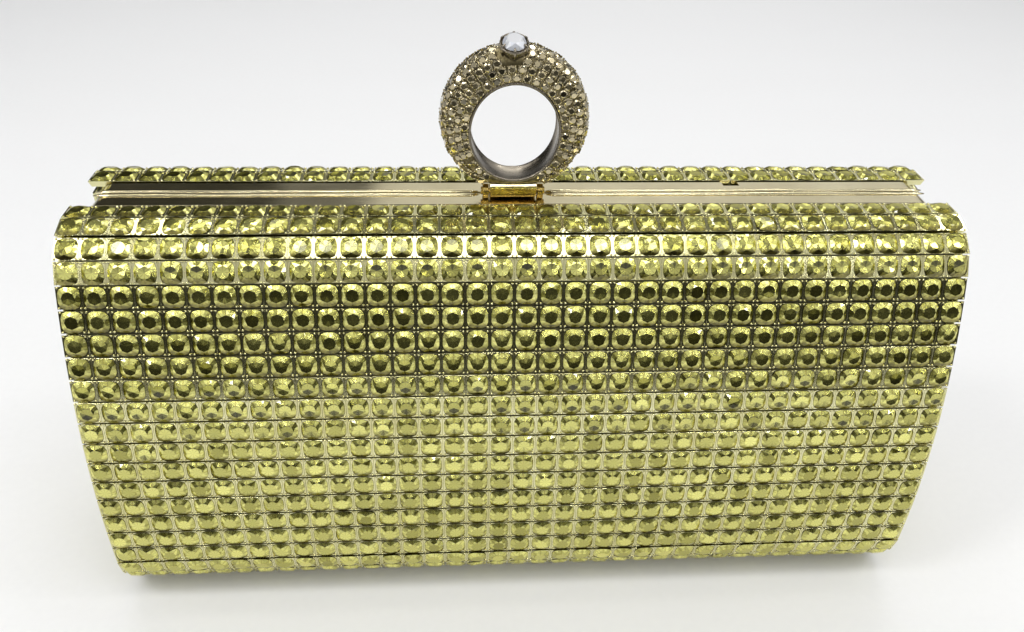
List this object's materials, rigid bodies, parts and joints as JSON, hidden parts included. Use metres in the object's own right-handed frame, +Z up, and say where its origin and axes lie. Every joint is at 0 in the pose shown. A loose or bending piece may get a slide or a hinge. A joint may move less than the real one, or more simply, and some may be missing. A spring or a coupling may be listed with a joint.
{
  "type": "evening bag",
  "caption": "Hard-shell evening bag: two crystal-clad half shells in polished frames, hinged along the bottom, closed by a rocking finger-ring latch with a solitaire.",
  "frame": {"origin": "on the floor, at the middle of the bag's outline", "axes": "+Z up, -Y the front with the ring latch's pivot, +X to the right as seen from the front"},
  "size_m": [0.185, 0.0644, 0.1265],
  "materials": {
    "crystal_cladding": "citrine crystal stones in bright metal cups",
    "champagne_metal": "polished champagne plating",
    "shell_metal": "satin",
    "bright_gold": "polished gold plating",
    "antique_gold": "antiqued gold plating set with small stones",
    "satin_lining": "satin",
    "spring_steel": "bright",
    "clear_stone": "faceted, clear"
  },
  "bodies": {
    "front_half": {"front_shell": "shell_metal", "front_crystal_mesh": "crystal_cladding", "front_left_end_mesh": "crystal_cladding", "front_right_end_mesh": "crystal_cladding", "front_frame": "champagne_metal", "front_lining": "satin_lining", "front_hinge_leaf": "champagne_metal", "front_hinge_rivet_1": "champagne_metal", "front_hinge_rivet_2": "champagne_metal", "front_hinge_rivet_3": "champagne_metal", "front_hinge_rivet_4": "champagne_metal", "hinge_pin": "spring_steel", "latch_ear_left": "bright_gold", "latch_ear_right": "bright_gold", "latch_pin": "bright_gold", "latch_spring": "spring_steel"},
    "back_half": {"back_shell": "shell_metal", "back_crystal_mesh": "crystal_cladding", "back_left_end_mesh": "crystal_cladding", "back_right_end_mesh": "crystal_cladding", "back_frame": "champagne_metal", "back_lining": "satin_lining", "back_hinge_leaf": "champagne_metal", "back_hinge_rivet_1": "champagne_metal", "back_hinge_rivet_2": "champagne_metal", "back_hinge_rivet_3": "champagne_metal", "back_hinge_rivet_4": "champagne_metal"},
    "ring_latch": {"ring_base": "bright_gold", "ring_band": "antique_gold", "stone_setting": "antique_gold", "solitaire_stone": "clear_stone"}
  },
  "joints": [
    {"name": "opening", "type": "hinge", "parent": "front_half", "child": "back_half", "pos_m": [0, 0, 0.0013], "axis": [-1, 0, 0], "range_deg": [0, 75]},
    {"name": "ring_rock", "type": "hinge", "parent": "front_half", "child": "ring_latch", "pos_m": [-0.002, -0.0016, 0.09274], "axis": [1, 0, 0], "range_deg": [0, 24], "stiffness_Nm_per_rad": 0.15, "springref_deg": -11.46}
  ]
}
